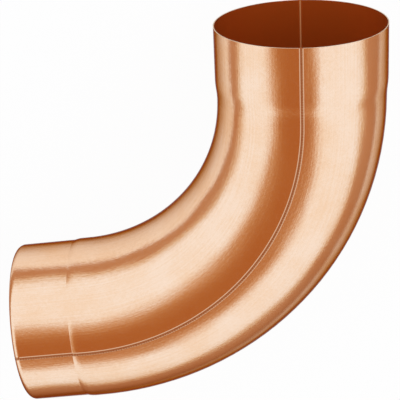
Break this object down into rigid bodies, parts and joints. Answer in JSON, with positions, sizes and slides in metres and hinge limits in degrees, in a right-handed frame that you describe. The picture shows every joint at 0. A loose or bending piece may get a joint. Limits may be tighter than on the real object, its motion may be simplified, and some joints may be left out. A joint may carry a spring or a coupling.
{
  "type": "downspout elbow",
  "caption": "Round copper downspout elbow with an expanded socket at one end and a reduced, turned-in spigot at the other, welded from pressed half shells.",
  "frame": {"origin": "centre of the socket's mouth", "axes": "+Y out of the socket's mouth along its axis, +Z square to the plane of the bend, so that the elbow lies on its side"},
  "size_m": [0.2317, 0.2416, 0.1022],
  "materials": {
    "copper_sheet": "bright drawn copper sheet",
    "copper_weld": "rippled copper weld, planished nearly flush"
  },
  "bodies": {
    "root": {"heel_shell": "copper_sheet", "throat_shell": "copper_sheet", "front_weld_bead": "copper_weld", "rear_weld_bead": "copper_weld"}
  },
  "joints": []
}
